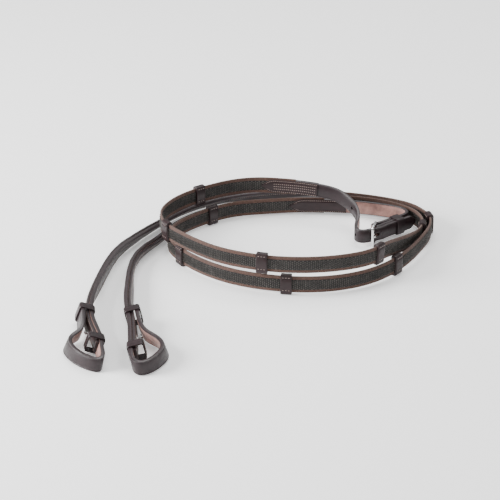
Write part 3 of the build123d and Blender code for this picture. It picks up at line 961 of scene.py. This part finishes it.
class REIN_OT_straps(bpy.types.Operator):
    """Make the leather straps, with cut tips, creased edges, a notched chape and billet holes"""
    bl_idname = "rein.straps"
    bl_label = "Leather straps"

    def execute(self, context):
        size = context.scene.rein_sizes
        for side in SIDES:
            line = rail(side)
            tip = Point(line.length, line.length - STRAP_POINT)
            self.strap(f"{side}_bit_strap", line, web_span(side)[1], line.length,
                       size.bit_leather, -INNER[side], tip)
        notch = block_cutter(HEEL, CHAPE_NOTCH)
        self.strap("left_centre_strap", rail("left"), 0, web_span("left")[0],
                   size.centre_leather, 1, None, [notch])
        line = rail("right")
        holes = [slot_cutter(line, USED_HOLE, USED_SLOT, HOLE_HEIGHT)]
        holes += [slot_cutter(line, USED_HOLE + k * HOLE_PITCH, HOLE_LENGTH, HOLE_HEIGHT)
                  for k in (1, 2, 3)]
        self.strap("right_centre_strap", line, 0, web_span("right")[0],
                   size.centre_leather, -1, Point(0, STRAP_POINT), holes)
        return {"FINISHED"}

    def strap(self, name, line, start, end, thickness, outer, narrowing, cutters=()):
        """A strap with creased, burnished edges; outer is +1 if the grain is on its right."""
        width = bpy.context.scene.rein_sizes.leather_width
        faces = (1, 0) if outer > 0 else (0, 1)
        outline, tags = strap_outline(-thickness / 2, thickness / 2, width, EDGE_ROUND,
                                      EDGE_CREASE, faces, 2)
        mesh = strap_mesh(name, line, start, end, outline, tags, 2.5 * MM, narrowing)
        for cutter in cutters:
            mesh = cut(mesh, cutter)
        piece = finish_piece(name, mesh, ("grain", "flesh", "edge"), (name,))
        free_cord(line, start, end)


# The grips: web, rubber faces and hand stops

WEB_STEP = 2.4 * MM
WEB_CORDS = 4                # along each edge of the web
CORD_GROOVE = 0.22 * MM
LAST_GROOVE = 0.18 * MM
RUBBER_HALF = 1.3 * MM       # from the web's middle to the face of the rubber's backing
RUBBER_SUNK = 0.15 * MM      # how far the backing starts inside the web
RUBBER_ROUND = 0.18 * MM
RUBBER_TUCK = 0.2 * MM
STOP_COUNT = 5
STOP_HEIGHT = 24 * MM
# One pair up the section of a hand stop: height as twelfths of half its height, and mm out.
STOP_SECTION = (
    (-12, 0.9), (-11.8, 2.1), (-11.2, 3.1), (-10.2, 3.8), (-8.6, 4.05), (-6.6, 4.1), (-6.1, 3.95),
    (-5.6, 4.1), (0, 4.15), (6.9, 4.1), (7.4, 3.6), (7.9, 3.7), (8.4, 4.1), (10.2, 3.8),
    (11.2, 3.1), (11.8, 2.1), (12, 0.9))
# Places along a hand stop, as shares of half its length, and how far it is drawn in there.
STOP_DRAW = ((-1, 0.9), (-0.96, 0.98), (-0.8, 1.0), (-0.4, 0.985), (0, 0.98), (0.4, 0.985),
             (0.8, 1.0), (0.96, 0.98), (1, 0.9))
STOP_STITCHES = (-6.1 * MM, 8.9 * MM)    # heights of its two rows of stitches
STOP_FACE = 4.1 * MM
STOP_SEAM_INSET = 2.9 * MM


def web_outline(width, thickness, rubber):
    """Section of the woven web: long cords along both edges, flat under the rubber."""
    half = width / 2
    pitch = (half - rubber / 2) / WEB_CORDS
    face = [rubber / 2 - RUBBER_TUCK]
    depth = [0.12 * MM]
    for cord in range(WEB_CORDS):
        base = rubber / 2 + cord * pitch
        last = cord == WEB_CORDS - 1
        face += [base + pitch * 0.12, base + pitch * 0.5, base + pitch * (0.8 if last else 0.88)]
        depth += [CORD_GROOVE, 0.0, LAST_GROOVE if last else CORD_GROOVE]
    right = [(thickness / 2 - d, h) for h, d in zip(face, depth)]
    upper = right + [(thickness * 0.25, half), (-thickness * 0.25, half)]
    upper += [(-a, h) for a, h in reversed(right)]
    lower = [(-a, -h) for a, h in upper]
    return upper + lower


class REIN_OT_grips(bpy.types.Operator):
    """Make the woven web of each rein and the pimpled rubber faces along it"""
    bl_idname = "rein.grips"
    bl_label = "Web and rubber grips"

    def execute(self, context):
        size = context.scene.rein_sizes
        for side in SIDES:
            line = rail(side)
            start, end = web_span(side)
            outline = web_outline(size.web_width, size.web_thickness, size.rubber_width)
            name = f"{side}_web"
            mesh = strap_mesh(name, line, start, end, outline, [0] * len(outline), WEB_STEP)
            web = finish_piece(name, mesh, ("web",), (f"{side}_grip_web",))
            free_cord(line, start, end)
            for face, sign in (("right", 1), ("left", -1)):
                self.rubber(side, face, sign, line, start, end)
        return {"FINISHED"}

    def rubber(self, side, face, sign, line, start, end):
        """A thin backing on one face of the web and a staggered field of pimples on it."""
        size = bpy.context.scene.rein_sizes
        web_half = size.web_thickness / 2 - RUBBER_SUNK
        low, high = sorted((sign * web_half, sign * RUBBER_HALF))
        outline, tags = strap_outline(low, high, size.rubber_width, RUBBER_ROUND)
        name = f"{side}_rubber_{face}"
        mesh = strap_mesh(name, line, start, end, outline, [0] * len(tags), WEB_STEP)
        finish_piece(name, mesh, ("rubber",), (f"{side}_grip_rubber_{face}",))
        gap = size.rubber_width / (PIMPLE_ROWS + 0.45)
        spots = []
        facings = []
        for i in range(int((end - start) / size.pimple_pitch)):
            middle, across, top = line.frame(start + (i + 0.5) * size.pimple_pitch)
            shift = 0.25 if i % 2 else -0.25
            for row in range(PIMPLE_ROWS):
                height = (row - (PIMPLE_ROWS - 1) / 2 + shift) * gap
                spots.append(middle + across * sign * (RUBBER_HALF + PIMPLE_SEAT) + top * height)
                facings += (across * sign)[:]
        points = new_mesh(name + "_spots", spots, [])
        facing = points.attributes.new("facing", "FLOAT_VECTOR", "POINT")
        facing.data.foreach_set("vector", facings)
        # The pimples take the lighter tips colour, a painted highlight against the rubber backing.
        values = {"Radius": PIMPLE_RADIUS, "Height": PIMPLE_HEIGHT, "Rubber": materials()["tips"]}
        field = run_tree(name + "_pimples", points, trees()["pimple"], values)


def stop_mesh(name, line, middle, length):
    """A hand stop: leather wrapped round the web, rolled over both edges, creased at its seam."""
    verts = []
    for share, pull in STOP_DRAW:
        place, side, top = line.frame(middle + share * length / 2)
        ring = [(out * MM * pull, level * STOP_HEIGHT / 2 / 12 * (0.5 + 0.5 * pull))
                for level, out in STOP_SECTION]
        ring += [(-a, h) for a, h in reversed(ring)]
        verts += [place + side * a + top * h for a, h in ring]
    levels = len(STOP_SECTION)
    count = 2 * levels
    faces = ring_faces(len(STOP_DRAW), count)
    last = (len(STOP_DRAW) - 1) * count
    for i in range(levels - 1):
        j = count - 1 - i
        faces.append((i, i + 1, j - 1, j))
        faces.append((last + i, last + j, last + j - 1, last + i + 1))
    return new_mesh(name, verts, faces)


class REIN_OT_stops(bpy.types.Operator):
    """Make the leather hand stops sewn round the web, and their stitching"""
    bl_idname = "rein.stops"
    bl_label = "Hand stops"

    def execute(self, context):
        size = context.scene.rein_sizes
        for side in SIDES:
            line = rail(side)
            start, end = web_span(side)
            runs = []
            for number in range(1, STOP_COUNT + 1):
                name = f"{side}_hand_stop_{number}"
                middle = line.at_node(name, start, end)
                mesh = stop_mesh(name, line, middle, size.stop_length)
                finish_piece(name, mesh, ("patch",), (name,), smooth_angle=50)
                reach = size.stop_length / 2 - STOP_SEAM_INSET
                for height in STOP_STITCHES:
                    for across in (-STOP_FACE, STOP_FACE):
                        runs.append(seam(line, middle - reach, middle + reach, across, height))
            stitches(f"{side}_stop_stitches", runs)
        return {"FINISHED"}


# Splice patches

PATCH_HALF = 7.8 * MM
PATCH_RAISED = 1.5           # mm above the leather, in the middle of a patch
PATCH_BORDER = 1.1           # mm above the leather, where the border is sewn
# Section from a patch's edge to its raised middle: mm above the leather, and mm in from the edge.
PATCH_SECTION = ((0, 0), (0.75, 0), (1.05, 0.4), (1.05, 2.0), (0.8, 2.35), (1.35, 2.8),
                 (PATCH_RAISED, 3.4))
PATCH_ON_WEB = 40 * MM       # from the joint to the patch's tip
PATCH_POINT = 15 * MM
PATCH_STITCH_INSET = 1.2 * MM
PATCH_STITCH_END = 1.6 * MM
PATCH_STITCH_STEPS = 60
PATCH_MIDDLE_INSET = 3 * MM
PATCH_MIDDLE_ROWS = (-3 * MM, 0, 3 * MM)


def patch_outline(base, sign):
    """Section of a splice patch on one face: a thin sewn border, a groove, a raised middle."""
    right = [(base + sign * rise * MM, -PATCH_HALF + inset * MM)
             for rise, inset in PATCH_SECTION]
    points = right + [(a, -h) for a, h in reversed(right)]
    return points if sign > 0 else points[::-1]


class REIN_OT_splices(bpy.types.Operator):
    """Make the pointed splice patches over the joints of leather and web, with rows of stitches"""
    bl_idname = "rein.splices"
    bl_label = "Splice patches"

    def execute(self, context):
        size = context.scene.rein_sizes
        for side in SIDES:
            start, end = web_span(side)
            self.patch_pair(side, "centre", start, 1, size.centre_leather)
            self.patch_pair(side, "bit", end, -1, size.bit_leather)
        return {"FINISHED"}

    def patch_pair(self, side, name, joint, towards_web, thickness):
        line = rail(side)
        tip = joint + towards_web * PATCH_ON_WEB
        square = tip - towards_web * bpy.context.scene.rein_sizes.patch_length
        neck = tip - towards_web * PATCH_POINT
        narrow = Point(tip, neck, 0.16, 2.2)
        half = thickness / 2
        runs = []
        for face, sign in (("right", 1), ("left", -1)):
            node = f"{side}_{name}_splice_{face}"
            outline = patch_outline(sign * half, sign)
            mesh = strap_mesh(node, line, min(tip, square), max(tip, square), outline,
                              [0] * len(outline), 2 * MM, narrow)
            finish_piece(node, mesh, ("patch",), (node,))
            surface = sign * (half + PATCH_BORDER * MM)
            runs += [self.edge_row(line, tip, square, towards_web, surface, narrow, edge)
                     for edge in (-1, 1)]
            if side == "right":
                raised = sign * (half + PATCH_RAISED * MM)
                first, last = sorted((square + towards_web * PATCH_MIDDLE_INSET, neck))
                runs += [seam(line, first, last, raised, height) for height in PATCH_MIDDLE_ROWS]
        stitches(f"{side}_{name}_splice_stitches", runs)

    def edge_row(self, line, tip, square, towards_web, surface, narrow, edge):
        """Points of the stitches along one edge of a patch, following its rounded point."""
        first = square + towards_web * PATCH_STITCH_END
        last = tip - towards_web * PATCH_STITCH_END
        run = []
        for i in range(PATCH_STITCH_STEPS + 1):
            distance = first + (last - first) * i / PATCH_STITCH_STEPS
            middle, side, top = line.frame(distance)
            share = narrow(distance + towards_web * 1.1 * MM)
            height = edge * max(0, PATCH_HALF * share - PATCH_STITCH_INSET)
            run.append(middle + side * surface + top * height)
        return run


# Bit ends

LINING = 3.2 * MM
LINING_WIDTH = 13 * MM
LINING_ROUND = 0.7 * MM
LINING_FROM_WEB = 28 * MM
LINING_PAST_KEEPER = 9 * MM
LINING_SEAM_INSET = 1.5 * MM
LINING_SEAM_HEIGHT = 5 * MM
UPPER_REACH = 9.8 * MM
LOWER_REACH = 10.4 * MM
STUD_FROM_MIDDLE = 13 * MM    # from midway between the keepers, towards the lower one
STUD_GAP = 0.1 * MM
# The stud's turned post, as mm out from the strap and mm of radius, and its hook's middle line,
# as mm towards the upper keeper and mm out.
POST = ((0.0, 3.4), (0.45, 3.4), (0.8, 2.9), (1.0, 1.9), (1.3, 1.4), (4.6, 1.4), (4.9, 1.5))
HOOK = ((-1.4, 5.5), (-0.5, 5.8), (1.0, 5.95), (2.6, 5.8), (3.9, 5.4), (4.8, 4.9), (5.4, 4.4))
HOOK_WIDTH = 2.8 * MM
HOOK_THICKNESS = 1.3 * MM


class REIN_OT_bit_ends(bpy.types.Operator):
    """Make each bit end's lining, its two keepers and its hook stud"""
    bl_idname = "rein.bit_ends"
    bl_label = "Bit ends"

    def execute(self, context):
        size = context.scene.rein_sizes
        for side in SIDES:
            line = rail(side)
            inner = INNER[side]
            upper, lower = keeper_places(side)
            half = size.bit_leather / 2
            stack = half + LINING
            low, high = sorted((half * inner, stack * inner))
            name = f"{side}_bit_lining"
            outline, tags = strap_outline(low, high, LINING_WIDTH, LINING_ROUND)
            start, end = web_span(side)[1] + LINING_FROM_WEB, lower + LINING_PAST_KEEPER
            mesh = strap_mesh(name, line, start, end, outline, tags)
            finish_piece(name, mesh, ("patch", "edge"), (name,))
            runs = [seam(line, start + LINING_SEAM_INSET, end - LINING_SEAM_INSET, across, height)
                    for across in (-half * inner, stack * inner)
                    for height in (-LINING_SEAM_HEIGHT, LINING_SEAM_HEIGHT)]
            stitches(f"{side}_lining_stitches", runs)
            for place, node, reach in ((upper, f"{side}_upper_keeper", UPPER_REACH),
                                       (lower, f"{side}_lower_keeper", LOWER_REACH)):
                keeper(node, node, line, place, half, reach, inner, size.keeper_length)
            self.stud(side, line, (upper + lower) / 2 + STUD_FROM_MIDDLE, inner, stack + STUD_GAP)
        return {"FINISHED"}

    def stud(self, side, line, place, inner, seat):
        """A domed button, a neck and a flat hook bent back towards the upper keeper."""
        middle, across, top = line.frame(place)
        out = across * inner
        back = across.cross(top).normalized()
        back *= -1 if back.dot(line.point(place - 5 * MM) - middle) < 0 else 1
        foot = middle + out * seat
        post = tube(f"{side}_post", [foot + out * rise * MM for rise, radius in POST],
                    [radius * MM for rise, radius in POST], sides=20)
        hook = flat_bar(f"{side}_hook", [foot + back * a * MM + out * r * MM for a, r in HOOK],
                        top, HOOK_WIDTH, HOOK_THICKNESS)
        name = f"{side}_hook_stud"
        finish_piece(name, join(name, [post, hook]), ("steel",), (name,))


class REIN_OT_buckle(bpy.types.Operator):
    """Make the centre buckle's frame, its tongue and the leather keeper beside it"""
    bl_idname = "rein.buckle"
    bl_label = "Centre buckle"

    def execute(self, context):
        size = context.scene.rein_sizes
        reach = direction(FRAME_ANGLE)
        up = Vector((0, 0, 1))
        path = []
        for x, z, turn in ((0, -FRAME_HALF, 180), (FRAME_REACH, -FRAME_HALF, 270),
                           (FRAME_REACH, FRAME_HALF, 0), (0, FRAME_HALF, 90)):
            centre_x = x + FRAME_CORNER * (1 if x == 0 else -1)
            centre_z = z + FRAME_CORNER * (1 if z < 0 else -1)
            for degrees in range(turn, turn + 91, 15):
                angle = math.radians(degrees)
                path.append(HEEL + reach * (centre_x + FRAME_CORNER * math.cos(angle))
                            + up * (centre_z + FRAME_CORNER * math.sin(angle)))
        ring = tube("buckle_frame", path, [BAR] * len(path), True, 18)
        finish_piece("buckle_frame_visual", ring, ("steel",), ("buckle_frame",), "frame")
        self.tongue()
        half = size.centre_leather / 2
        keeper("buckle_keeper_visual", "buckle_keeper", rail("left"), BUCKLE_KEEPER, half,
               BUCKLE_KEEPER_REACH, 1, size.keeper_length)
        self.chape_stitches(half)
        return {"FINISHED"}

    def tongue(self):
        """A tapered blade that rests on the frame, with an eye round the heel bar."""
        rest = math.degrees(math.asin((BAR + TONGUE + TONGUE_GAP) / FRAME_REACH))
        blade = direction(FRAME_ANGLE + rest)
        parts = [tube("blade", [HEEL + blade * reach * MM for reach, radius in TONGUE_LINE],
                      [radius * MM for reach, radius in TONGUE_LINE])]
        eye = [HEEL + direction(a) * (EYE + TONGUE) for a in range(0, 360, 15)]
        parts.append(tube("eye", eye, [TONGUE] * len(eye), True, 12))
        finish_piece("buckle_tongue_visual", join("tongue", parts), ("steel",),
                     ("buckle_tongue",), "tongue")

    def chape_stitches(self, half):
        """Stitches that hold the chape's turned-back end beside the buckle."""
        runs = [seam(rail("left"), *CHAPE_SEAM, across, height) for across in (-half, half)
                for height in (-CHAPE_SEAM_HEIGHT, CHAPE_SEAM_HEIGHT)]
        stitches("chape_stitches", runs)


# The studio

CAMERA_TARGET = Vector((-0.0071, 0.0732, 0.0))
CAMERA_DISTANCE = 2.2
CAMERA_DROP = math.radians(26)    # how far down the camera looks
LENS_MM = 141.0
SENSOR_MM = 36.0
LIGHT_TARGET = Vector((0, 0.05, 0))
LIGHTS = (                        # name, place, width in metres, power in watts
    ("Key", (-1.7, -0.3, 0.8), 1.1, 90.0),
    ("Front", (0.9, -1.5, 1.0), 1.0, 8.0),
    ("Top", (0.2, 0.7, 1.8), 1.6, 34.0),
)
SKY_STRENGTH = 0.52
PAPER_GLOW = 0.3
FLOOR_HALF = 4


class REIN_OT_stage(bpy.types.Operator):
    """Set the camera, a pale floor and soft light from the left"""
    bl_idname = "rein.stage"
    bl_label = "Camera and light"

    def execute(self, context):
        back = Vector((0, -math.cos(CAMERA_DROP), math.sin(CAMERA_DROP)))
        lens = bpy.data.cameras.new("Camera")
        lens.lens = LENS_MM
        lens.sensor_width = SENSOR_MM
        camera = placed("Camera", lens)
        camera.location = CAMERA_TARGET + CAMERA_DISTANCE * back
        camera.rotation_euler = (-back).to_track_quat("-Z", "Y").to_euler()
        context.scene.camera = camera
        self.floor()
        for light in LIGHTS:
            self.light(*light)
        world = bpy.data.worlds.new("Studio")
        context.scene.world = world
        world.use_nodes = True
        sky = world.node_tree.nodes["Background"]
        sky.inputs["Color"].default_value = hex_linear("FFFFFF")
        sky.inputs["Strength"].default_value = SKY_STRENGTH
        return {"FINISHED"}

    def floor(self):
        corners = [(x * FLOOR_HALF, y * FLOOR_HALF, 0)
                   for x, y in ((-1, -1), (1, -1), (1, 1), (-1, 1))]
        mesh = new_mesh("Floor", corners, [(0, 1, 2, 3)])
        paper, _, shader, _ = new_material(
            "White_studio_paper", Roughness=0.95, Emission_Strength=PAPER_GLOW)
        shader.inputs["Base Color"].default_value = hex_linear("FFFFFF")
        mesh.materials.append(paper)
        placed("Floor", mesh)

    def light(self, name, place, size, power):
        """A square white softbox that faces the reins."""
        lamp = bpy.data.lights.new(name, "AREA")
        lamp.size = size
        lamp.energy = power
        box = placed(name, lamp)
        box.location = place
        box.rotation_euler = (LIGHT_TARGET - Vector(place)).to_track_quat("-Z", "Y").to_euler()


class REIN_PT_panel(bpy.types.Panel):
    """Sizes and colours of the reins"""
    bl_idname = "REIN_PT_panel"
    bl_label = "Riding Reins"
    bl_space_type = "VIEW_3D"
    bl_region_type = "UI"
    bl_category = "Reins"

    def draw(self, context):
        for group in (context.scene.rein_sizes, context.scene.rein_colours):
            box = self.layout.box()
            for name in group.__annotations__:
                box.prop(group, name)
        for operator in OPERATORS:
            self.layout.operator(operator.bl_idname)


OPERATORS = (REIN_OT_stage, REIN_OT_straps, REIN_OT_grips, REIN_OT_stops, REIN_OT_splices,
             REIN_OT_bit_ends, REIN_OT_buckle)
CLASSES = (Sizes, Colours) + OPERATORS + (REIN_PT_panel,)


def register():
    for item in CLASSES:
        bpy.utils.register_class(item)
    bpy.types.Scene.rein_sizes = bpy.props.PointerProperty(type=Sizes)
    bpy.types.Scene.rein_colours = bpy.props.PointerProperty(type=Colours)


def unregister():
    del bpy.types.Scene.rein_colours
    del bpy.types.Scene.rein_sizes
    for item in reversed(CLASSES):
        bpy.utils.unregister_class(item)


def main():
    register()
    bpy.ops.rein.stage()
    bpy.ops.rein.straps()
    bpy.ops.rein.grips()
    bpy.ops.rein.stops()
    bpy.ops.rein.splices()
    bpy.ops.rein.bit_ends()
    bpy.ops.rein.buckle()


if __name__ == "__main__":
    main()
